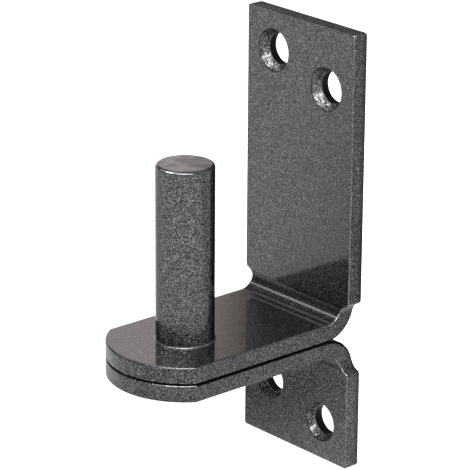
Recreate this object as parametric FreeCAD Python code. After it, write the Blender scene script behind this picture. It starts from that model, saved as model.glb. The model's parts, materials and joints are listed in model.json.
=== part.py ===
"""Hinge pin on a wall plate: an upright pin riveted through two folded brackets.

The upper bracket's leg runs up the wall and the lower bracket's leg runs down it.
Their arms lie one on the other, and the pin's tenon holds them together.

The origin is on the pin's axis, on the upper arm's top face, where the pin's shank starts.
+Z runs up the pin, +Y runs back to the wall, and +X is to the right as seen from the front.
All lengths are in millimetres.
"""
import FreeCAD, Part
import math
import os

Vector = FreeCAD.Vector

# Folded sheet
sheet_thickness = 5.0
bend_radius = 4.5
axis_to_leg = 40.3

# Legs on the wall
upper_leg_length = 81.7
lower_leg_length = 33.3
leg_corner_radius = 0.8

# Arm, its round nose, and the notch where the wider leg begins
arm_width = 36.5
nose_overhang = 3.25
nose_kink_radius = 0.5
leg_shoulder = 3.0
notch_radius = 2.9
notch_height = 2.0
notch_lip_radius = 1.3

# Rims: a narrow chamfer on the inner side of the fold, and rolled over on the side that faces the wall
# or the other arm, as the press leaves them
crisp_rim_chamfer = 0.3
rolled_rim_radius = 0.7

# Screw holes: two in each leg, one of them nearer to the leg's end
hole_offset = 10.6
end_hole_inset = 11.0
inner_hole_inset = 17.2
hole_radius = 4.5
upper_sink_width = 1.5
upper_sink_depth = 2.5
lower_sink_width = 1.1
lower_sink_depth = 2.2

# Pin: shank above the arms, tenon through them, riveted head below
pin_radius = 8.0
pin_length = 49.5
pin_tip_radius = 0.9
tenon_radius = 5.5
tenon_clearance = 0.05
rivet_head_radius = 8.4
rivet_head_height = 1.7
rivet_rim_height = 0.4

# Places that follow from the sizes above
arm_half = arm_width / 2
leg_half = arm_half + leg_shoulder
nose_radius = arm_half + nose_overhang
wall_plane = axis_to_leg + sheet_thickness
bore_radius = tenon_radius + tenon_clearance
underside = -2 * sheet_thickness
origin = Vector(0, 0, 0)
to_right = Vector(1, 0, 0)
to_wall = Vector(0, 1, 0)
upward = Vector(0, 0, 1)

# How far a cutting shape reaches past the sheet, and how close counts as the same place
spare = 5.0
same_place = 1e-3


def arc_about(centre, start, end):
    """The shorter arc between two points round a centre."""
    bisector = (start - centre) + (end - centre)
    middle = centre + bisector * ((start - centre).Length / bisector.Length)
    return Part.Arc(start, middle, end).toShape()


def path(steps):
    """Edges through (point, centre) steps: an arc to the point round its centre, or a line if that is None."""
    edges = []
    here = steps[0][0]
    for point, centre in steps[1:]:
        if here.distanceToPoint(point) > same_place:
            edges.append(arc_about(centre, here, point) if centre else Part.makeLine(here, point))
            here = point
    return edges


def face_inside(edges):
    return Part.Face(Part.Wire(Part.__sortEdges__(edges)))


def symmetric_face(half_edges):
    """Face between an open run of edges on the right and its mirror image on the left."""
    mirrored = [edge.mirror(origin, to_right) for edge in half_edges]
    first = half_edges[0].Vertexes[0].Point
    last = half_edges[-1].Vertexes[-1].Point
    closing = [Part.makeLine(end, Vector(-end.x, end.y, end.z)) for end in (first, last)]
    return face_inside(half_edges + mirrored + closing)


def folded_sheet(leg_length):
    """L-shaped sheet, leg up and arm to the front, larger all round than the bracket cut from it."""
    centre = Vector(0, axis_to_leg - bend_radius, bend_radius)
    outer_radius = bend_radius + sheet_thickness
    leg_end = leg_length + spare
    arm_end = -nose_radius - spare
    section = face_inside(path([
        (Vector(0, axis_to_leg, leg_end), None),
        (centre + to_wall * bend_radius, None),
        (centre - upward * bend_radius, centre),
        (Vector(0, arm_end, 0), None),
        (Vector(0, arm_end, -sheet_thickness), None),
        (centre - upward * outer_radius, None),
        (centre + to_wall * outer_radius, centre),
        (Vector(0, wall_plane, leg_end), None),
        (Vector(0, axis_to_leg, leg_end), None),
    ]))
    reach = leg_half + spare
    section.translate(to_right * -reach)
    return section.extrude(to_right * 2 * reach)


def front_outline(leg_length):
    """What is seen from the front: the arm's width, a notch on each side, and the leg's round corners."""
    front = -nose_radius - 2 * spare
    turn = math.acos(max(0, 1 - leg_shoulder / (notch_radius + notch_lip_radius)))
    inward = Vector(-math.cos(turn), 0, math.sin(turn))
    lip_z = notch_height + (notch_radius + notch_lip_radius) * math.sin(turn)
    notch_centre = Vector(arm_half + notch_radius, front, notch_height)
    lip_centre = Vector(leg_half - notch_lip_radius, front, lip_z)
    corner_centre = Vector(leg_half - leg_corner_radius, front, leg_length - leg_corner_radius)
    right_half = path([
        (Vector(arm_half, front, -sheet_thickness - spare), None),
        (Vector(arm_half, front, notch_height), None),
        (notch_centre + inward * notch_radius, notch_centre),
        (lip_centre - inward * notch_lip_radius, None),
        (lip_centre + to_right * notch_lip_radius, lip_centre),
        (corner_centre + to_right * leg_corner_radius, None),
        (corner_centre + upward * leg_corner_radius, corner_centre),
    ])
    return symmetric_face(right_half).extrude(to_wall * (wall_plane + spare - front))


def plan_outline(leg_length):
    """What is seen from above: the nose's arc about the pin, and everything behind the pin."""
    bottom = -sheet_thickness - spare
    side = leg_half + spare
    right_half = path([
        (Vector(0, -nose_radius, bottom), None),
        (Vector(nose_radius, 0, bottom), Vector(0, 0, bottom)),
        (Vector(side, 0, bottom), None),
        (Vector(side, wall_plane + spare, bottom), None),
        (Vector(0, wall_plane + spare, bottom), None),
    ])
    left_half = [edge.mirror(origin, to_right) for edge in right_half]
    return face_inside(right_half + left_half).extrude(upward * (leg_length + spare - bottom))


def kink_edges(sheet):
    """The two upright edges where the nose's arc meets the arm's sides."""
    kink_y = -math.sqrt(nose_radius ** 2 - arm_half ** 2)
    found = []
    for edge in sheet.Edges:
        offsets = [math.hypot(abs(v.X) - arm_half, v.Y - kink_y) for v in edge.Vertexes]
        if max(offsets) < same_place:
            found.append(edge)
    return found


def depth_in_sheet(point):
    """How far a point lies from the inner face of the folded sheet, through its thickness."""
    centre_y = axis_to_leg - bend_radius
    if point.z >= bend_radius:
        return point.y - axis_to_leg
    if point.y <= centre_y:
        return -point.z
    return math.hypot(point.y - centre_y, point.z - bend_radius) - bend_radius


def rim_edges(sheet, leg_length, depth):
    """The outline's edges on one side of the sheet, without the lines where the bend starts and stops."""
    found = []
    for edge in sheet.Edges:
        if edge.Degenerated:
            continue
        points = edge.discretize(5)
        if max(abs(depth_in_sheet(point) - depth) for point in points) > same_place:
            continue
        box = edge.BoundBox
        straight_across = max(box.YLength, box.ZLength) < same_place
        if straight_across and abs(box.ZMax - leg_length) > same_place:
            continue
        found.append(edge)
    return found


def screw_hole(x, z, sink_width, sink_depth):
    """Straight hole with a countersink that opens at the leg's front face."""
    mouth = Vector(x, axis_to_leg, z)
    bore = Part.makeCylinder(hole_radius, sheet_thickness + spare, mouth, to_wall)
    lead = sink_depth / 2
    mouth_radius = hole_radius + sink_width * (sink_depth + lead) / sink_depth
    cone = Part.makeCone(mouth_radius, hole_radius, sink_depth + lead, mouth - to_wall * lead, to_wall)
    return bore.fuse(cone)


def bracket(leg_length, end_hole_side, sink_width, sink_depth):
    """One folded bracket, leg up, with its arm's inner face at height 0."""
    sheet = folded_sheet(leg_length).common(front_outline(leg_length)).common(plan_outline(leg_length))
    sheet = sheet.removeSplitter()
    sheet = sheet.makeFillet(nose_kink_radius, kink_edges(sheet))
    sheet = sheet.makeChamfer(crisp_rim_chamfer, rim_edges(sheet, leg_length, 0))
    sheet = sheet.makeFillet(rolled_rim_radius, rim_edges(sheet, leg_length, sheet_thickness))
    end_x = end_hole_side * hole_offset
    end_hole = screw_hole(end_x, leg_length - end_hole_inset, sink_width, sink_depth)
    inner_hole = screw_hole(-end_x, leg_length - inner_hole_inset, sink_width, sink_depth)
    drilled = sheet.cut(end_hole).cut(inner_hole)
    tenon_bore = Part.makeCylinder(bore_radius, sheet_thickness + 2 * spare, upward * (-sheet_thickness - spare))
    return drilled.cut(tenon_bore)


def upper_bracket():
    return bracket(upper_leg_length, -1, upper_sink_width, upper_sink_depth)


def lower_bracket():
    """The same pattern turned leg down, back to back with the upper arm, its holes staggered the other way."""
    upright = bracket(lower_leg_length, 1, lower_sink_width, lower_sink_depth)
    return upright.mirror(upward * -sheet_thickness, upward)


def hinge_pin():
    """Shank, shoulder, tenon and low domed rivet head, turned as one profile."""
    tip_centre = Vector(pin_radius - pin_tip_radius, 0, pin_length - pin_tip_radius)
    rim_z = underside - rivet_rim_height
    head_z = underside - rivet_head_height
    dome_rise = rivet_head_height - rivet_rim_height
    dome_radius = (rivet_head_radius ** 2 + dome_rise ** 2) / (2 * dome_rise)
    profile = path([
        (Vector(0, 0, pin_length), None),
        (tip_centre + upward * pin_tip_radius, None),
        (tip_centre + to_right * pin_tip_radius, tip_centre),
        (Vector(pin_radius, 0, 0), None),
        (Vector(tenon_radius, 0, 0), None),
        (Vector(tenon_radius, 0, underside), None),
        (Vector(rivet_head_radius, 0, underside), None),
        (Vector(rivet_head_radius, 0, rim_z), None),
        (Vector(0, 0, head_z), Vector(0, 0, head_z + dome_radius)),
        (Vector(0, 0, pin_length), None),
    ])
    return face_inside(profile).revolve(origin, upward, 360)


def main():
    os.makedirs("parts", exist_ok=True)
    nodes = {
        "upper_bracket": upper_bracket(),
        "lower_bracket": lower_bracket(),
        "hinge_pin": hinge_pin(),
    }
    for name, shape in nodes.items():
        solids = shape.Solids
        if len(solids) != 1 or not shape.isValid():
            raise ValueError(f"{name} is not one valid solid")
        solids[0].exportStep(f"parts/{name}.step")
        print(name, "volume", round(shape.Volume, 1), "faces", len(shape.Faces))


main()
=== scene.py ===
"""Looks of a hinge pin on a wall plate: a charcoal flake coat, its bead round the pin, and a pale studio.

The frame holds the real shapes, in metres: +Z runs up the pin, +Y back to the wall, +X to the right.
"""
import json
import math

import bpy
from bpy.props import FloatProperty, FloatVectorProperty, PointerProperty
from mathutils import Matrix, Vector


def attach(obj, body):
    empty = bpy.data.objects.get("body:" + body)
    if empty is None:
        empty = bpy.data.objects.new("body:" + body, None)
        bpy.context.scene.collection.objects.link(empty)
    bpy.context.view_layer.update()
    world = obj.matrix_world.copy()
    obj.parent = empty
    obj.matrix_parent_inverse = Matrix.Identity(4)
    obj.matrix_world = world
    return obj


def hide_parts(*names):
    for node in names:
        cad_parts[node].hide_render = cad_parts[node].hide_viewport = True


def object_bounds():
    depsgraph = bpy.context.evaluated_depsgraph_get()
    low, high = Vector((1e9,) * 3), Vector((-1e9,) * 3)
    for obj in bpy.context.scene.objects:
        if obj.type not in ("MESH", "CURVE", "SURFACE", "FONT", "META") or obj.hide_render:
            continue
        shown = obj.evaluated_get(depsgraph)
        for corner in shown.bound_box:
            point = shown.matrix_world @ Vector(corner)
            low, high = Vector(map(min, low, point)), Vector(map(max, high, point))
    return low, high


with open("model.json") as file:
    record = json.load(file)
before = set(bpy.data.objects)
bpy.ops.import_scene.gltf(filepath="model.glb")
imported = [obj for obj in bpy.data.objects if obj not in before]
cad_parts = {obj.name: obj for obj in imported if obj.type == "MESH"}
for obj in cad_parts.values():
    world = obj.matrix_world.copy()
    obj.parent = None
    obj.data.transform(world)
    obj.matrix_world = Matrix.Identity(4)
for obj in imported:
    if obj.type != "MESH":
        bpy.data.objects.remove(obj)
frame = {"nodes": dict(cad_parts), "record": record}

bl_info = {
    "name": "Hinge Pin on Plate",
    "version": (1, 0, 0),
    "blender": (4, 5, 0),
    "location": "3D View > Sidebar > Hinge Pin",
    "description": "Coats the packed hinge pin and its two folded brackets, and sets up a pale studio",
    "category": "Object",
}

SLOT = "powder_coat"
BRACKETS = ("upper_bracket", "lower_bracket")
PIN = "hinge_pin"
MM = 0.001

PACKED_COAT = next(m["base_color"] for m in frame["record"]["materials"] if m["slot"] == SLOT)
PIN_MOUNT = next(m for m in frame["record"]["mounts"] if m["name"] == "pin")
PIN_RADIUS = PIN_MOUNT["dims"]["r_mm"] * MM
PIN_FREE_LENGTH = PIN_MOUNT["dims"]["length_mm"] * MM
CAD_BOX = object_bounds()
FLOOR_Z = CAD_BOX[0].z - 0.1 * MM

# Sizes of the folded sheets
SHEET = 5.0 * MM
BEND_RADIUS = 4.5 * MM
LEG_FRONT = 40.3 * MM
BEND_START = LEG_FRONT - BEND_RADIUS
CRISP_RIM = 0.3 * MM
SINK_DEPTHS = {"upper_bracket": 2.5 * MM, "lower_bracket": 2.2 * MM}

# Widths that tell one zone of the coat from another
LEG_ROLLED_RIM = 0.7 * MM
ARM_ROLLED_RIM = 0.5 * MM
SINK_RADIUS = 6.3 * MM
SINK_RIM_DEPTH = 0.3 * MM
LIP_RISE = 0.18 * MM
BORE_START = 2.8 * MM
LEG_END = 0.5 * MM
NOSE_FROM = -8.0 * MM
SEAM_SHADOW = 0.25 * MM
HAIR = 0.03 * MM

# Zones of a bracket's surface and of the pin's, each with its own finish
(ROLLED_FACE, ARM_TOP, FOLD, CUT_EDGE, UPRIGHT_RIM, LEVEL_RIM, ROLLED_RIM, SINK, SINK_LIP, BORE,
 END_EDGE, SINK_RIM) = range(12)
SHANK, TIP, END = range(3)
LEVEL_NORMAL = 0.999

# Merging and rounding of the brackets' copies
MERGE_DISTANCE = 0.000002
FLAT_ANGLE = math.radians(0.5)
CRISP_ANGLE = math.radians(30)
SHARP_ANGLE = math.radians(50)
RIM_STEPS = 2
SINK_STEPS = 3
NORMAL_WEIGHT = 50

# Bead of coat: how far it stands in the steel, and how its hollow side is made
BEAD_SUNK = 0.05 * MM
BEAD_MERGE = 0.000001
BEAD_STEPS = 8
BEAD_HOLLOW = 0.0856
BEAD_TURNS = 160
BEAD_SMOOTH_ANGLE = math.radians(40)

# Ramps of a value from nothing to all of it, and back
RISING = (0.0, 1.0)
FALLING = (1.0, 0.0)

# Flakes, the clouds over them, how they fade at a glancing angle, the painted shade that darkens them
# towards the wall, and the waves at which the clear layer thins
FLAKE_ROUGHNESS = (0.32, 0.50)
CLOUDS_PER_METRE = 90.0
CLOUD_DETAIL = 3.0
CLOUD_SPREAD = (0.3, 0.7)
CLOUD_TONES = (0.96, 1.04)
MIDDLE_GREY = (0.5, 0.5, 0.5)
GLANCING_WIDTH = 0.3
GLANCING_TONE = 0.2
WALL_FADE_WIDTH = 1.6 * MM
THINNING_WAVES = (0.45, 0.56)

# Floor: the places, in metres, and the tones between which its mirrored brightness changes, which hold a
# painted shadow near the object and painted shade behind it
FLOOR_WHITE = (0.82, 0.82, 0.82)
FLOOR_CORNERS = 96
SHADOW_MIDDLE = (-0.045, 0.01, FLOOR_Z)
SHADOW_REACH = (0.015, 0.07)
SHADOW_TONES = (0.3, 1.05)
FAR_BEHIND = (0.10, 0.16)
LEFT_HALF = (0.0, 0.06)
BAND_FALLS = (0.09, 0.13)
BAND_TONES = (1.0, 0.4)
BAND_RISES = (0.15, 0.21)
BAND_GAIN = (0.0, 0.45)

# Room: parts of the direction vector between which its brightness changes
FRONT_TO_BACK = (-0.1, 0.35)
LOW_WALL_HEIGHT = (math.sin(math.radians(2)), math.sin(math.radians(8)))
CEILING_HEIGHT = (math.sin(math.radians(33)), math.sin(math.radians(46)))
CEILING_FROM_LEFT = (-0.6, -0.1)
RIGHT_SIDE = (0.3, 0.55)
BACK_SIDE = (0.2, 0.4)

# Cards behind the object on the left, upright and side by side
CARD_AWAY = (-0.7524, 0.6588, 0.0)
CARD_ALONG = (0.6588, 0.7524, 0.0)
CARD_DISTANCE = 0.3
CARD_LEFT_END = -0.2
CARD_RIGHT_END = 0.2
CARD_STEP = 0.013
TALL_CARD_TOP = 0.165
LOW_CARD_TOP = 0.14
CARD_FALL = (-0.006, 0.020)
CARD_WARM = (1.13, 1.0, 1.0)
CARD_OLIVE = (0.15, 0.132, 0.098)

# Lights and camera
WHITE = (1.0, 1.0, 1.0)
LIT_POINT = Vector((0, 0, 0.02))
STRAIGHT_DOWN = (1, 0, 0, 0)
SENSOR_WIDTH = 36.0
NEAREST_SEEN = 0.01
FARTHEST_SEEN = 20.0


def screw_holes():
    """Places of the holes' axes as (x, z), from the record's two upright pairs of holes."""
    found = []
    for mount in frame["record"]["mounts"]:
        if mount["kind"] == "bolt_pattern":
            x, _, z = mount["pos_m"]
            half = mount["dims"]["spacing_y_mm"] * MM / 2
            found += [(x, z - half), (x, z + half)]
    return found


SCREW_HOLES = screw_holes()


# Settings

class CoatSettings(bpy.types.PropertyGroup):
    """Colours and grain of the coat"""

    coat: FloatVectorProperty(
        name="Coat", description="Mid tone of the coat, which each finish makes lighter or darker",
        subtype="COLOR", size=3, min=0, max=1, default=PACKED_COAT)
    spark: FloatVectorProperty(
        name="Spark", description="Colour of the few flakes that lie flat and shine",
        subtype="COLOR", size=3, min=0, max=1, default=(0.46, 0.46, 0.47))
    flake_size: FloatProperty(
        name="Flake size", description="Distance from one metal flake to the next",
        unit="LENGTH", min=0.0001, max=0.002, precision=5, default=0.00018)
    peel_size: FloatProperty(
        name="Peel size", description="Distance between the low waves that the coat sets in",
        unit="LENGTH", min=0.0002, max=0.01, precision=5, default=0.0014)
    under_clear: FloatProperty(
        name="Flake share",
        description="Share of the coat's tone that comes from the flakes under the clear layer",
        subtype="FACTOR", min=0, max=1, default=0.66)
    rim_rounding: FloatProperty(
        name="Rim rounding", description="How far the coat rounds each corner of a crisp rim",
        unit="LENGTH", min=0.00001, max=0.0002, precision=5, default=0.00014)
    sink_rounding: FloatProperty(
        name="Sink rounding", description="How far the coat rounds both edges of a countersink",
        unit="LENGTH", min=0.00001, max=0.0004, precision=5, default=0.00025)
    end_wave_size: FloatProperty(
        name="End wave size", description="Distance between the shallow waves on the pin's upper end",
        unit="LENGTH", min=0.001, max=0.02, precision=5, default=0.0045)
    coat_roughness: FloatProperty(
        name="Clear layer roughness", description="How soft the clear top layer's reflections are",
        subtype="FACTOR", min=0, max=1, default=0.07)


class BeadSettings(bpy.types.PropertyGroup):
    """Size of the bead of coat in the corner at the pin's foot"""

    width: FloatProperty(
        name="Bead width", description="How far the bead reaches out from the pin and up its side",
        unit="LENGTH", min=0.00005, max=0.002, precision=5, default=0.0004)


class StageSettings(bpy.types.PropertyGroup):
    """Camera and studio"""

    azimuth: FloatProperty(
        name="Azimuth", description="Camera's turn about the pin from straight in front",
        subtype="ANGLE", default=math.radians(48.7899))
    elevation: FloatProperty(
        name="Elevation", description="Camera's height above the horizon as an angle",
        subtype="ANGLE", default=math.radians(19.8203))
    roll: FloatProperty(
        name="Roll", description="Camera's turn about its own line of sight",
        subtype="ANGLE", default=math.radians(0.4447))
    distance: FloatProperty(
        name="Distance", description="From the camera to the point that it looks at",
        unit="LENGTH", default=0.790479)
    aim: FloatVectorProperty(
        name="Aim", description="Point that the camera looks at",
        subtype="XYZ", unit="LENGTH", size=3, default=(-0.0027152, 0.0200000, 0.0240436))
    lens: FloatProperty(
        name="Lens", description="Focal length on a 36 mm sensor, in millimetres",
        unit="CAMERA", default=223.01)
    floor_radius: FloatProperty(
        name="Floor radius", description="From the middle of the round floor to its edge",
        unit="LENGTH", default=3.0)
    floor_glow: FloatProperty(
        name="Floor glow", description="How much of the floor's white the shadow doesn't reach",
        subtype="FACTOR", min=0, max=1, default=0.9)
    behind: FloatProperty(
        name="Behind",
        description="How bright the coat sees the floor behind the object on the left, where 1 is white",
        min=0, max=1, default=0.2)
    walls: FloatProperty(
        name="Walls", description="Brightness of the room's dim walls, where 1 is white",
        min=0, default=0.12)
    front: FloatProperty(
        name="Front", description="Brightness of the front wall close above the horizon, where 1 is white",
        min=0, default=0.5)
    back_right: FloatProperty(
        name="Back right",
        description="Brightness of the room behind the object to the right, where 1 is white",
        min=0, default=0.9)
    ceiling: FloatProperty(
        name="Ceiling", description="Brightness of the ceiling, where 1 is white",
        min=0, default=0.55)
    key_strength: FloatProperty(
        name="Key light", description="Brightness of the main soft box's face, where 1 is white",
        min=0, default=3.0)
    strip_strength: FloatProperty(
        name="Strip light", description="Brightness of the strip that draws the rims that face the camera",
        min=0, default=16.0)
    crease_strength: FloatProperty(
        name="Crease light", description="Brightness of the soft box that draws the line in the fold",
        min=0, default=5.8)
    right_strength: FloatProperty(
        name="Right light", description="Brightness of the low soft box at the right",
        min=0, default=1.2)
    tip_strength: FloatProperty(
        name="Tip light",
        description="Brightness of the soft box that lights the pin alone, for the rim of its tip",
        min=0, default=25.6)


# Node helpers

def new_tree(holder):
    holder.use_nodes = True
    holder.node_tree.nodes.clear()
    return holder.node_tree


def node(tree, kind, values=(), **settings):
    """A node with its settings, and its inputs set or linked by name."""
    made = tree.nodes.new(kind)
    for name, value in settings.items():
        setattr(made, name, value)
    for name, value in dict(values).items():
        fill(tree, made.inputs[name], value)
    return made


def fill(tree, socket, value):
    """Links an input to another node's output, or sets it to a plain value."""
    if isinstance(value, bpy.types.NodeSocket):
        tree.links.new(value, socket)
    else:
        socket.default_value = value


def math_node(tree, operation, first, second=0.0):
    return node(tree, "ShaderNodeMath", {0: first, 1: second}, operation=operation).outputs[0]


def vector_math(tree, operation, values):
    return node(tree, "ShaderNodeVectorMath", values, operation=operation).outputs


def ranged(tree, value, source, target):
    """The value moved from one range to another, clamped to the new one."""
    made = node(tree, "ShaderNodeMapRange", {
        "Value": value,
        "From Min": source[0],
        "From Max": source[1],
        "To Min": target[0],
        "To Max": target[1]})
    return made.outputs["Result"]


def mixed(tree, factor, first, second):
    """Mix of two colours."""
    made = node(tree, "ShaderNodeMix", data_type="RGBA")
    sockets = {s.identifier: s for s in made.inputs}
    for name, value in (("Factor_Float", factor), ("A_Color", first), ("B_Color", second)):
        fill(tree, sockets[name], value)
    return next(s for s in made.outputs if s.identifier == "Result_Color")


def opaque(colour):
    return (*colour, 1.0)


def emission(tree, colour, strength):
    return node(tree, "ShaderNodeEmission", {"Color": opaque(colour), "Strength": strength}).outputs[0]


def object_place(tree):
    return node(tree, "ShaderNodeTexCoord").outputs["Object"]


def seen_directly(tree, path):
    """1 for the camera's own rays and those that pass through something clear, 0 for the rest."""
    return math_node(tree, "MAXIMUM", path["Is Camera Ray"], path["Is Transmission Ray"])


# Coat

def flake_sockets(face):
    """Named inputs and outputs of the flake group."""
    for name, kind, default in (
            ("Vector", "NodeSocketVector", None),
            ("Normal", "NodeSocketVector", None),
            ("Coat", "NodeSocketColor", (0.1, 0.1, 0.1, 1.0)),
            ("Spark", "NodeSocketColor", (0.5, 0.5, 0.5, 1.0)),
            ("Flakes per metre", "NodeSocketFloat", 2800.0),
            ("Waves per metre", "NodeSocketFloat", 700.0),
            ("Contrast", "NodeSocketFloat", 2.0),
            ("Spark share", "NodeSocketFloat", 0.06),
            ("Tilt", "NodeSocketFloat", 0.25)):
        socket = face.new_socket(name, in_out="INPUT", socket_type=kind)
        if default is not None:
            socket.default_value = default
    for name, kind in (
            ("Color", "NodeSocketColor"),
            ("Roughness", "NodeSocketFloat"),
            ("Normal", "NodeSocketVector"),
            ("Height", "NodeSocketFloat")):
        face.new_socket(name, in_out="OUTPUT", socket_type=kind)


def flake_colour(group, given, draw):
    """Coat tone spread from flake to flake round its mean, with clouds over it and a few bright sparks."""
    noise = node(group, "ShaderNodeTexNoise", {
        "Vector": given["Vector"], "Scale": CLOUDS_PER_METRE, "Detail": CLOUD_DETAIL})
    cloud = ranged(group, noise.outputs["Fac"], CLOUD_SPREAD, CLOUD_TONES)
    steep = math_node(group, "POWER", draw["Red"], given["Contrast"])
    evened = math_node(group, "MULTIPLY", steep, math_node(group, "ADD", 1.0, given["Contrast"]))
    tone = math_node(group, "MULTIPLY", evened, cloud)
    toned = vector_math(group, "SCALE", {0: given["Coat"], "Scale": tone})
    spark_from = math_node(group, "SUBTRACT", 1.0, given["Spark share"])
    shine = ranged(group, draw["Blue"], (spark_from, 1.0), RISING)
    return mixed(group, shine, toned[0], given["Spark"])


def flake_normal(group, given, random_colour):
    """The surface's normal, leaning another way on each flake."""
    centred = vector_math(group, "SUBTRACT", {0: random_colour, 1: MIDDLE_GREY})
    lean = vector_math(group, "SCALE", {0: centred[0], "Scale": given["Tilt"]})
    leaning = vector_math(group, "ADD", {0: given["Normal"], 1: lean[0]})
    return vector_math(group, "NORMALIZE", {0: leaning[0]})[0]


def flake_group():
    """Node group: metal flakes in a dark coat, with clouds, a tilt for each flake, and a wavy surface."""
    group = bpy.data.node_groups.new("Flake coat", "ShaderNodeTree")
    flake_sockets(group.interface)
    given = node(group, "NodeGroupInput").outputs
    flakes = node(group, "ShaderNodeTexVoronoi", {
        "Vector": given["Vector"], "Scale": given["Flakes per metre"]}).outputs
    draw = node(group, "ShaderNodeSeparateColor", {"Color": flakes["Color"]}).outputs
    waves = node(group, "ShaderNodeTexNoise", {
        "Vector": given["Vector"], "Scale": given["Waves per metre"], "Detail": 1.0})
    node(group, "NodeGroupOutput", {
        "Color": flake_colour(group, given, draw),
        "Roughness": ranged(group, draw["Green"], RISING, FLAKE_ROUGHNESS),
        "Normal": flake_normal(group, given, flakes["Color"]),
        "Height": waves.outputs["Fac"]})
    return group


def shared_flake_group():
    return bpy.data.node_groups.get("Flake coat") or flake_group()


def flake_fade(tree, place, sunk_from, wall_painted_shade):
    """Share of the flakes' tone: less at a glancing angle, and on some finishes less towards the wall, as
    painted shade.
    """
    facing = node(tree, "ShaderNodeLayerWeight", {"Blend": 0.5}).outputs["Facing"]
    share = ranged(tree, facing, (sunk_from, sunk_from + GLANCING_WIDTH), (1.0, GLANCING_TONE))
    if wall_painted_shade is None:
        return share
    depth = node(tree, "ShaderNodeSeparateXYZ", {"Vector": place}).outputs["Y"]
    # Painted shade: the flakes darken over the last stretch of the cut edge before the rolled rim at the
    # wall
    near_wall = LEG_FRONT + SHEET - LEG_ROLLED_RIM
    fade = ranged(tree, depth, (near_wall - WALL_FADE_WIDTH, near_wall), (1.0, wall_painted_shade))
    return math_node(tree, "MULTIPLY", share, fade)


def coat_material(name, settings, shade, contrast, spark_share, tilt, wave_height, clear=1.0,
                  peel_size=None, sunk_from=0.65, edge_tint=1.0, clear_index=1.5, wall_painted_shade=None,
                  clear_thin=None, clear_softness=None):
    """One finish of the coat: the shared flake group under a clear layer. Its shade makes the flakes' tone
    lighter or darker, which several finishes use for painted highlights and painted shade.
    """
    material = bpy.data.materials.new(name)
    tree = new_tree(material)
    place = object_place(tree)
    flakes = node(tree, "ShaderNodeGroup", {
        "Vector": place,
        "Normal": node(tree, "ShaderNodeNewGeometry").outputs["Normal"],
        "Coat": opaque([c * shade * settings.under_clear for c in settings.coat]),
        "Spark": opaque(settings.spark),
        "Flakes per metre": 1 / settings.flake_size,
        "Waves per metre": 1 / (peel_size or settings.peel_size),
        "Contrast": contrast,
        "Spark share": spark_share,
        "Tilt": tilt}, node_tree=shared_flake_group()).outputs
    bump = node(tree, "ShaderNodeBump", {
        "Strength": 1.0, "Distance": wave_height, "Height": flakes["Height"], "Normal": flakes["Normal"]})
    share = flake_fade(tree, place, sunk_from, wall_painted_shade)
    if clear_thin is not None:
        clear = ranged(tree, flakes["Height"], THINNING_WAVES, (clear, clear_thin))
    shader = node(tree, "ShaderNodeBsdfPrincipled", {
        "Base Color": vector_math(tree, "SCALE", {0: flakes["Color"], "Scale": share})[0],
        "Roughness": flakes["Roughness"],
        "Metallic": 1.0,
        "Coat Weight": clear,
        "Coat Roughness": clear_softness or settings.coat_roughness,
        "Coat IOR": clear_index,
        "Specular Tint": opaque([edge_tint] * 3),
        "Normal": bump.outputs["Normal"]})
    node(tree, "ShaderNodeOutputMaterial", {"Surface": shader.outputs[0]})
    return material


def face_finishes(settings):
    """Finishes of the rolled faces, the arm's top, the fold and the cut edge, in their zones' order."""
    return [
        coat_material("rolled_face_coat", settings, shade=1.1, contrast=3.8, spark_share=0.014, tilt=0.35,
                      wave_height=0.00001),
        # Arm's top: darker than the rolled faces, as painted shade; its stronger grain is the coat's own
        coat_material("arm_top_coat", settings, shade=0.74, contrast=8.0, spark_share=0.014, tilt=0.4,
                      wave_height=0.00001),
        # Fold: darker than the rolled faces, as painted shade in the bend
        coat_material("fold_painted_shade", settings, shade=0.62, contrast=2.4, spark_share=0.006, tilt=0.15,
                      wave_height=0.00001, clear=0.6),
        # Cut edge: darkens towards the wall as painted shade
        coat_material("cut_edge_coat", settings, shade=1.06, contrast=3.8, spark_share=0.012, tilt=0.5,
                      wave_height=0.00003, clear=0.7, wall_painted_shade=0.2),
    ]


def rim_finishes(settings):
    """Finishes of the upright, level and rolled rims, in their zones' order."""
    return [
        # Upright rims: much lighter than the faces, as painted highlights along the rims
        coat_material("upright_rim_painted_highlight", settings, shade=1.9, contrast=1.2, spark_share=0.02, tilt=0.3,
                      wave_height=0.00002),
        coat_material("level_rim_coat", settings, shade=1.0, contrast=1.2, spark_share=0.02, tilt=0.15,
                      wave_height=0.00001),
        # Rolled rims: near black, as painted shade in the seam and along the back edges
        coat_material("rolled_rim_painted_shade", settings, shade=0.1, contrast=1.0, spark_share=0.0, tilt=0.3,
                      wave_height=0.00002, clear=0.08, edge_tint=0.1),
    ]


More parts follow.
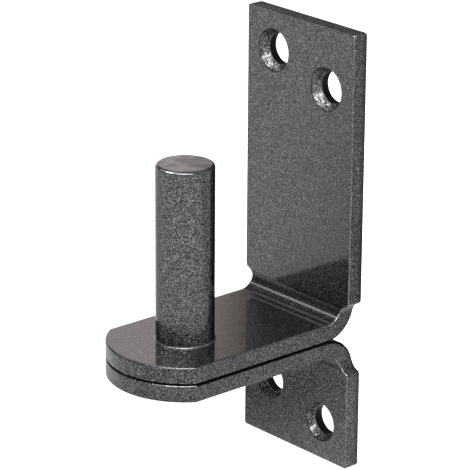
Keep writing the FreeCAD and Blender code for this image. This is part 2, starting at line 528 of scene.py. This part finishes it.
def hole_and_end_finishes(settings):
    """Finishes of the sink, its lip, the bore, the legs' end edges and the sink's rim, in that order."""
    return [
        # Sinks: lighter than the faces, as a painted highlight; their deep waves are real bumps
        coat_material("sink_coat", settings, shade=1.8, contrast=3.2, spark_share=0.02, tilt=0.7,
                      wave_height=0.0003, clear=0.7),
        # Sinks' lips: a painted highlight, a light line between the sink and the bore
        coat_material("sink_lip_painted_highlight", settings, shade=3.2, contrast=1.0, spark_share=0.02, tilt=0.5,
                      wave_height=0.00003),
        # Bores: near black, as painted shade
        coat_material("bore_painted_shade", settings, shade=0.06, contrast=1.0, spark_share=0.0, tilt=0.3,
                      wave_height=0.00003, clear=0.12),
        # Legs' end edges: lighter than the other cut edges, as painted light; the strong grain is the coat's
        # own
        coat_material("end_edge_coat", settings, shade=1.25, contrast=8.0, spark_share=0.02, tilt=0.6,
                      wave_height=0.00003, clear=0.7, sunk_from=0.8),
        # Sinks' rims: darker, as a painted dark outline round each sink
        coat_material("sink_rim_painted_shade", settings, shade=0.6, contrast=3.0, spark_share=0.0, tilt=0.3,
                      wave_height=0.00003, clear=0.15),
    ]


def pin_finishes(settings):
    """Finishes of the pin's shank, the rounding at its tip and its upper end, in their zones' order."""
    return [
        # Pin's shank: lighter than the brackets' coat, as painted light
        coat_material("turned_pin_coat", settings, shade=1.38, contrast=3.2, spark_share=0.01, tilt=0.4,
                      wave_height=0.00001, clear=0.85, sunk_from=0.36, edge_tint=0.1),
        # Pin's tip: darker than the shank, as painted shade round its highlight; its stronger clear layer is
        # gloss
        coat_material("pin_tip_coat", settings, shade=0.5, contrast=1.0, spark_share=0.0, tilt=0.1,
                      wave_height=0.00002, clear_index=1.75, clear_softness=0.22),
        coat_material("pin_end_coat", settings, shade=1.4, contrast=1.2, spark_share=0.0, tilt=0.1,
                      wave_height=0.0004, peel_size=settings.end_wave_size, clear_thin=0.6),
    ]


# Zones of a bracket's surface

def height_over_arm(point, lower):
    """Height over the arm's inner side, measured the other way on the lower bracket."""
    return -2 * SHEET - point.z if lower else point.z


def depth_in_sheet(point, lower):
    """How far a point lies from the inner side of a folded sheet, through its thickness."""
    height = height_over_arm(point, lower)
    if height >= BEND_RADIUS:
        return point.y - LEG_FRONT
    if point.y <= BEND_START:
        return -height
    return math.hypot(point.y - BEND_START, height - BEND_RADIUS) - BEND_RADIUS


def in_bend(point, lower):
    return height_over_arm(point, lower) < BEND_RADIUS and point.y > BEND_START


def in_screw_hole(point):
    near_leg = point.y > LEG_FRONT - HAIR
    return near_leg and any(math.hypot(point.x - x, point.z - z) < SINK_RADIUS for x, z in SCREW_HOLES)


def hole_zone(depth, lower):
    """Zone in a screw hole: the sink's rim, the sink, the lip below it, and the straight bore."""
    if depth < SINK_RIM_DEPTH:
        return SINK_RIM
    if depth < SINK_DEPTHS[BRACKETS[lower]] - LIP_RISE:
        return SINK
    return SINK_LIP if depth < BORE_START else BORE


def edge_zone(point, depth, lower):
    """Zone across the sheet's thickness: the crisp rim, the cut edge and the rolled rim."""
    on_leg = point.y > BEND_START
    at_top = point.z > CAD_BOX[1].z - LEG_END
    at_bottom = point.z < CAD_BOX[0].z + LEG_END
    if depth < CRISP_RIM:
        return LEVEL_RIM if at_bottom or not on_leg else UPRIGHT_RIM
    # Painted highlight: the outer part of the lower arm's rolled rim on the nose takes the light upright-rim
    # finish
    if lower and point.y < NOSE_FROM and SHEET - ARM_ROLLED_RIM < depth < SHEET - SEAM_SHADOW:
        return UPRIGHT_RIM
    if depth > SHEET - (LEG_ROLLED_RIM if on_leg else ARM_ROLLED_RIM):
        return ROLLED_RIM
    return END_EDGE if at_top or at_bottom else CUT_EDGE


def zone(point, lower):
    """Zone of a bracket's surface at a point."""
    depth = depth_in_sheet(point, lower)
    if depth < HAIR and in_bend(point, lower):
        return FOLD
    if depth < HAIR and point.y < BEND_START:
        return ARM_TOP
    if depth < HAIR or depth > SHEET - HAIR:
        return ROLLED_FACE
    if in_screw_hole(point):
        return hole_zone(depth, lower)
    return edge_zone(point, depth, lower)


# Brackets

def merged_copy(name):
    """A copy of a bracket whose loose triangles are merged into whole faces."""
    made = bpy.data.objects.new(name + "_coated", frame["nodes"][name].data.copy())
    bpy.context.scene.collection.objects.link(made)
    bpy.ops.object.select_all(action="DESELECT")
    made.select_set(True)
    bpy.context.view_layer.objects.active = made
    bpy.ops.mesh.customdata_custom_splitnormals_clear()
    bpy.ops.object.mode_set(mode="EDIT")
    bpy.ops.mesh.select_all(action="SELECT")
    bpy.ops.mesh.remove_doubles(threshold=MERGE_DISTANCE)
    bpy.ops.mesh.dissolve_limited(angle_limit=FLAT_ANGLE)
    bpy.ops.mesh.normals_make_consistent(inside=False)
    bpy.ops.mesh.mark_sharp(clear=True)
    bpy.ops.object.mode_set(mode="OBJECT")
    return made


def select_edges(made, lower, wanted):
    """Selects the edges that are wanted, by the zones of their two faces and the angle between them."""
    bpy.ops.object.mode_set(mode="EDIT")
    bpy.ops.mesh.select_mode(type="EDGE")
    bpy.ops.mesh.select_all(action="DESELECT")
    bpy.ops.object.mode_set(mode="OBJECT")
    owners = {}
    for face in made.data.polygons:
        for key in face.edge_keys:
            owners.setdefault(key, []).append(face)
    for edge in made.data.edges:
        first, second = owners[edge.key]
        zones = [zone(face.center, lower) for face in (first, second)]
        edge.select = wanted(zones, first.normal.angle(second.normal))
    bpy.ops.object.mode_set(mode="EDIT")


def crisp_corner(zones, angle):
    return max(zones) in (UPRIGHT_RIM, LEVEL_RIM) and min(zones) < UPRIGHT_RIM and angle > CRISP_ANGLE


def sink_corner(zones, angle):
    in_sink = SINK in zones or SINK_RIM in zones
    return in_sink and (ROLLED_FACE in zones or BORE in zones)


def sharp_corner(zones, angle):
    return angle > SHARP_ANGLE


def bevel_edges(made, lower, wanted, width, steps):
    select_edges(made, lower, wanted)
    bpy.ops.mesh.bevel(offset=width, segments=steps, affect="EDGES", clamp_overlap=False)
    bpy.ops.object.mode_set(mode="OBJECT")


def round_rims(made, lower, settings):
    """Rounds the crisp rims and the sinks' edges, and keeps the shading flat on flat faces."""
    bevel_edges(made, lower, crisp_corner, settings.rim_rounding, RIM_STEPS)
    bevel_edges(made, lower, sink_corner, settings.sink_rounding, SINK_STEPS)
    bpy.ops.object.shade_smooth()
    select_edges(made, lower, sharp_corner)
    bpy.ops.mesh.mark_sharp()
    bpy.ops.object.mode_set(mode="OBJECT")
    weighted = made.modifiers.new("even_normals", "WEIGHTED_NORMAL")
    weighted.weight = NORMAL_WEIGHT
    weighted.keep_sharp = True
    bpy.ops.object.modifier_apply(modifier=weighted.name)


class HINGEPIN_OT_coat_brackets(bpy.types.Operator):
    """Rounds the crisp rims of both folded brackets and coats each zone with its own finish"""

    bl_idname = "hinge_pin.coat_brackets"
    bl_label = "Coat Brackets"

    def execute(self, context):
        settings = context.scene.hinge_pin_coat
        finishes = face_finishes(settings) + rim_finishes(settings) + hole_and_end_finishes(settings)
        for name in BRACKETS:
            lower = name == "lower_bracket"
            made = merged_copy(name)
            round_rims(made, lower, settings)
            made.data.materials.clear()
            for finish in finishes:
                made.data.materials.append(finish)
            for face in made.data.polygons:
                face.material_index = zone(face.center, lower)
            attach(made, "root")
            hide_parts(name)
        return {"FINISHED"}


# Pin and its bead

class HINGEPIN_OT_coat_pin(bpy.types.Operator):
    """Coats the turned pin"""

    bl_idname = "hinge_pin.coat_pin"
    bl_label = "Coat Pin"

    def execute(self, context):
        mesh = frame["nodes"][PIN].data
        mesh.materials.clear()
        for finish in pin_finishes(context.scene.hinge_pin_coat):
            mesh.materials.append(finish)
        for face in mesh.polygons:
            above = face.center.z > PIN_FREE_LENGTH
            past_shank = END if face.normal.z > LEVEL_NORMAL else TIP
            face.material_index = past_shank if above else SHANK
        return {"FINISHED"}


def bead_square(width):
    """Upright square in the corner between the pin and the arm, with its outer corner selected."""
    side = width + BEAD_SUNK
    middle = (PIN_RADIUS - BEAD_SUNK + side / 2, 0, -BEAD_SUNK + side / 2)
    bpy.ops.object.select_all(action="DESELECT")
    bpy.ops.mesh.primitive_plane_add(size=side, location=middle, rotation=(math.pi / 2, 0, 0))
    bead = bpy.context.object
    bead.name = "foot_bead"
    bpy.ops.object.transform_apply(location=True, rotation=True, scale=True)
    bpy.ops.object.mode_set(mode="EDIT")
    bpy.ops.mesh.select_all(action="DESELECT")
    bpy.ops.object.mode_set(mode="OBJECT")
    corner = Vector((PIN_RADIUS + width, 0, width))
    for vertex in bead.data.vertices:
        vertex.select = (vertex.co - corner).length < BEAD_SUNK / 2
    return bead


def spin_bead(width):
    """Hollows the square's selected corner and spins its outline round the pin."""
    bpy.ops.object.mode_set(mode="EDIT")
    bpy.ops.mesh.select_mode(type="VERT")
    bpy.ops.mesh.bevel(
        offset=width, offset_type="OFFSET", segments=BEAD_STEPS, profile=BEAD_HOLLOW, affect="VERTICES")
    bpy.ops.mesh.select_all(action="SELECT")
    bpy.ops.mesh.delete(type="ONLY_FACE")
    bpy.ops.mesh.select_all(action="SELECT")
    bpy.ops.mesh.spin(steps=BEAD_TURNS, angle=math.tau, center=(0, 0, 0), axis=(0, 0, 1))
    bpy.ops.mesh.select_all(action="SELECT")
    bpy.ops.mesh.remove_doubles(threshold=BEAD_MERGE)
    bpy.ops.mesh.normals_make_consistent(inside=False)
    bpy.ops.object.mode_set(mode="OBJECT")
    bpy.ops.object.shade_smooth_by_angle(angle=BEAD_SMOOTH_ANGLE)


class HINGEPIN_OT_foot_bead(bpy.types.Operator):
    """Adds the bead of coat that has run into the corner between the pin and the arm"""

    bl_idname = "hinge_pin.foot_bead"
    bl_label = "Add Foot Bead"

    def execute(self, context):
        width = context.scene.hinge_pin_bead.width
        bead = bead_square(width)
        spin_bead(width)
        # The bead is much lighter than the coat, as a painted highlight round the pin's foot
        bead.data.materials.append(coat_material(
            "bead_painted_highlight", context.scene.hinge_pin_coat, shade=2.2, contrast=1.0, spark_share=0.02, tilt=0.1,
            wave_height=0.00001))
        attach(bead, "root")
        return {"FINISHED"}


# Studio

def soft_box(name, direction, distance, width, height, strength, colour=WHITE):
    """Soft box that faces the object, with its face's brightness given where 1 is white."""
    data = bpy.data.lights.new(name, "AREA")
    data.shape = "RECTANGLE"
    data.size = width
    data.size_y = height
    data.energy = strength * math.pi * width * height
    data.color = colour
    made = bpy.data.objects.new(name, data)
    bpy.context.scene.collection.objects.link(made)
    made.location = LIT_POINT + Vector(direction).normalized() * distance
    made.rotation_mode = "QUATERNION"
    made.rotation_quaternion = Vector(direction).to_track_quat("Z", "Y")
    made.visible_camera = False
    return made


def place_lights(settings):
    """The main soft box above, the three that draw rims and the fold's line, and the pin's own."""
    key = soft_box("key_light", direction=(0.1, -0.27, 0.72), distance=0.78, width=0.95, height=0.45,
                   strength=settings.key_strength)
    key.rotation_quaternion = STRAIGHT_DOWN
    soft_box("strip_light", direction=(0.53, -0.466, 0.707), distance=0.8, width=0.75, height=0.2,
             strength=settings.strip_strength)
    soft_box("crease_light", direction=(-0.708, -0.339, 0.62), distance=0.7, width=0.12, height=0.12,
             strength=settings.crease_strength, colour=(0.95, 0.97, 1.0))
    soft_box("right_light", direction=(0.95, -0.1, 0.1), distance=0.8, width=0.4, height=0.3,
             strength=settings.right_strength)
    tip = soft_box("tip_light", direction=(-0.32, -0.62, 0.7), distance=0.8, width=0.34, height=0.34,
                   strength=settings.tip_strength)
    tip.light_linking.receiver_collection = bpy.data.collections.new("tip_light_receivers")
    tip.light_linking.receiver_collection.objects.link(frame["nodes"][PIN])


def mirrored_floor(tree, settings):
    """Brightness of the floor as the coat mirrors it.

    It is darker near the object, in a band behind it, and far behind it on the left: a painted shadow and
    painted shade, which the floor shows only in reflections.
    """
    place = object_place(tree)
    reach = vector_math(tree, "DISTANCE", {0: place, 1: SHADOW_MIDDLE})["Value"]
    along = node(tree, "ShaderNodeSeparateXYZ", {"Vector": place}).outputs
    far = ranged(tree, along["Y"], FAR_BEHIND, RISING)
    left = ranged(tree, along["X"], LEFT_HALF, FALLING)
    behind = ranged(tree, math_node(tree, "MULTIPLY", far, left), RISING, (1.0, settings.behind))
    near = ranged(tree, reach, SHADOW_REACH, SHADOW_TONES)
    shaded = ranged(tree, along["Y"], BAND_FALLS, BAND_TONES)
    regained = ranged(tree, along["Y"], BAND_RISES, BAND_GAIN)
    band = math_node(tree, "ADD", shaded, regained)
    return math_node(tree, "MULTIPLY", math_node(tree, "MULTIPLY", behind, near), band)


def floor_material(settings):
    """White floor that keeps the object's shadow, with a brightness of its own for reflections."""
    material = bpy.data.materials.new("floor_white")
    tree = new_tree(material)
    path = node(tree, "ShaderNodeLightPath").outputs
    diffuse = node(tree, "ShaderNodeBsdfDiffuse", {"Color": opaque(FLOOR_WHITE)})
    glow = emission(tree, WHITE, math_node(tree, "MULTIPLY", seen_directly(tree, path), settings.floor_glow))
    seen = node(tree, "ShaderNodeAddShader", {0: diffuse.outputs[0], 1: glow})
    mirrored = emission(tree, WHITE, mirrored_floor(tree, settings))
    either = node(tree, "ShaderNodeMixShader", {
        0: path["Is Glossy Ray"], 1: seen.outputs[0], 2: mirrored})
    node(tree, "ShaderNodeOutputMaterial", {"Surface": either.outputs[0]})
    return material


def studio_world(settings):
    """White behind the object for the camera, and a room for its reflections.

    The room has dim walls, a paler front and back right, and a ceiling that is paler except on the left.
    """
    world = bpy.data.worlds.new("studio")
    bpy.context.scene.world = world
    tree = new_tree(world)
    direction = node(tree, "ShaderNodeTexCoord").outputs["Generated"]
    axes = node(tree, "ShaderNodeSeparateXYZ", {"Vector": direction}).outputs
    low_wall = ranged(tree, axes["Y"], FRONT_TO_BACK, (settings.front, settings.walls))
    walls = ranged(tree, axes["Z"], LOW_WALL_HEIGHT, (low_wall, settings.walls))
    right = ranged(tree, axes["X"], RIGHT_SIDE, RISING)
    back = ranged(tree, axes["Y"], BACK_SIDE, (0.0, settings.back_right))
    back_right = math_node(tree, "MULTIPLY", right, back)
    walls = math_node(tree, "MAXIMUM", walls, back_right)
    ceiling = ranged(tree, axes["X"], CEILING_FROM_LEFT, (settings.walls, settings.ceiling))
    ceiling = math_node(tree, "MAXIMUM", ceiling, back_right)
    room = ranged(tree, axes["Z"], CEILING_HEIGHT, (walls, ceiling))
    path = node(tree, "ShaderNodeLightPath").outputs
    strength = math_node(tree, "MAXIMUM", seen_directly(tree, path), room)
    sky = node(tree, "ShaderNodeBackground", {"Color": opaque(WHITE), "Strength": strength})
    node(tree, "ShaderNodeOutputWorld", {"Surface": sky.outputs[0]})


def card_material():
    """Paper of both cards: warm grey at the left, falling to olive at the right."""
    material = bpy.data.materials.new("low_card")
    tree = new_tree(material)
    across = vector_math(tree, "DOT_PRODUCT", {0: object_place(tree), 1: CARD_ALONG})["Value"]
    fall = ranged(tree, across, CARD_FALL, RISING)
    glow = node(tree, "ShaderNodeEmission", {
        "Color": mixed(tree, fall, opaque(CARD_WARM), opaque(CARD_OLIVE)), "Strength": 1.0})
    node(tree, "ShaderNodeOutputMaterial", {"Surface": glow.outputs[0]})
    return material


def upright_card(name, left, right, top, paper):
    """Upright card behind the object that only its reflections see."""
    away = Vector(CARD_AWAY) * CARD_DISTANCE
    along = Vector(CARD_ALONG)
    bpy.ops.mesh.primitive_plane_add(size=1.0, location=(0, 0, 0))
    card = bpy.context.object
    card.name = name
    corners = [(side, height) for height in (FLOOR_Z, top) for side in (left, right)]
    for vertex, (side, height) in zip(card.data.vertices, corners):
        vertex.co = away + along * side + Vector((0, 0, height))
    card.data.materials.append(paper)
    card.visible_camera = False
    card.visible_diffuse = False
    card.visible_shadow = False
    return card


def round_floor(settings):
    bpy.ops.object.select_all(action="DESELECT")
    bpy.ops.mesh.primitive_circle_add(
        vertices=FLOOR_CORNERS, radius=settings.floor_radius, fill_type="NGON", location=(0, 0, FLOOR_Z))
    floor = bpy.context.object
    floor.name = "floor"
    bpy.ops.object.transform_apply(location=True, rotation=True, scale=True)
    floor.data.materials.append(floor_material(settings))
    return floor


def place_camera(settings):
    """Camera on its line of sight through the aim, rolled about that line."""
    azimuth, elevation, roll = settings.azimuth, settings.elevation, settings.roll
    back = Vector((math.sin(azimuth) * math.cos(elevation),
                   -math.cos(azimuth) * math.cos(elevation), math.sin(elevation)))
    right = (-back).cross(Vector((0, 0, 1))).normalized()
    up = right.cross(-back)
    rolled_right = math.cos(roll) * right + math.sin(roll) * up
    rolled_up = -math.sin(roll) * right + math.cos(roll) * up
    data = bpy.data.cameras.new("camera")
    data.lens = settings.lens
    data.sensor_width = SENSOR_WIDTH
    data.clip_start = NEAREST_SEEN
    data.clip_end = FARTHEST_SEEN
    camera = bpy.data.objects.new("camera", data)
    bpy.context.scene.collection.objects.link(camera)
    turn = Matrix((rolled_right, rolled_up, back)).transposed()
    camera.matrix_world = Matrix.Translation(Vector(settings.aim) + back * settings.distance) @ turn.to_4x4()
    bpy.context.scene.camera = camera


class HINGEPIN_OT_stage(bpy.types.Operator):
    """Sets up the floor, the studio light and the camera"""

    bl_idname = "hinge_pin.stage"
    bl_label = "Set Up Studio"

    def execute(self, context):
        settings = context.scene.hinge_pin_stage
        floor = round_floor(settings)
        paper = card_material()
        cards = [
            upright_card("tall_card", CARD_LEFT_END, CARD_STEP, TALL_CARD_TOP, paper),
            upright_card("low_card", CARD_STEP, CARD_RIGHT_END, LOW_CARD_TOP, paper),
        ]
        place_lights(settings)
        studio_world(settings)
        place_camera(settings)
        context.scene.view_settings.view_transform = "Standard"
        return {"FINISHED"}


# Panel and run

class HINGEPIN_PT_panel(bpy.types.Panel):
    """Lists the steps and the settings that they read"""

    bl_label = "Hinge Pin"
    bl_idname = "HINGEPIN_PT_panel"
    bl_space_type = "VIEW_3D"
    bl_region_type = "UI"
    bl_category = "Hinge Pin"

    def draw(self, context):
        for title, holder, steps in (
                ("Coat", context.scene.hinge_pin_coat, (HINGEPIN_OT_coat_brackets, HINGEPIN_OT_coat_pin)),
                ("Bead", context.scene.hinge_pin_bead, (HINGEPIN_OT_foot_bead,)),
                ("Studio", context.scene.hinge_pin_stage, (HINGEPIN_OT_stage,))):
            box = self.layout.box()
            box.label(text=title)
            for name in holder.__annotations__:
                box.prop(holder, name)
            for step in steps:
                box.operator(step.bl_idname)


CLASSES = (CoatSettings, BeadSettings, StageSettings, HINGEPIN_OT_coat_brackets, HINGEPIN_OT_coat_pin,
           HINGEPIN_OT_foot_bead, HINGEPIN_OT_stage, HINGEPIN_PT_panel)


def register():
    for made in CLASSES:
        bpy.utils.register_class(made)
    bpy.types.Scene.hinge_pin_coat = PointerProperty(type=CoatSettings)
    bpy.types.Scene.hinge_pin_bead = PointerProperty(type=BeadSettings)
    bpy.types.Scene.hinge_pin_stage = PointerProperty(type=StageSettings)


def unregister():
    del bpy.types.Scene.hinge_pin_stage
    del bpy.types.Scene.hinge_pin_bead
    del bpy.types.Scene.hinge_pin_coat
    for made in reversed(CLASSES):
        bpy.utils.unregister_class(made)


def main():
    register()
    bpy.ops.hinge_pin.coat_brackets()
    bpy.ops.hinge_pin.coat_pin()
    bpy.ops.hinge_pin.foot_bead()
    bpy.ops.hinge_pin.stage()


if __name__ == "__main__":
    main()
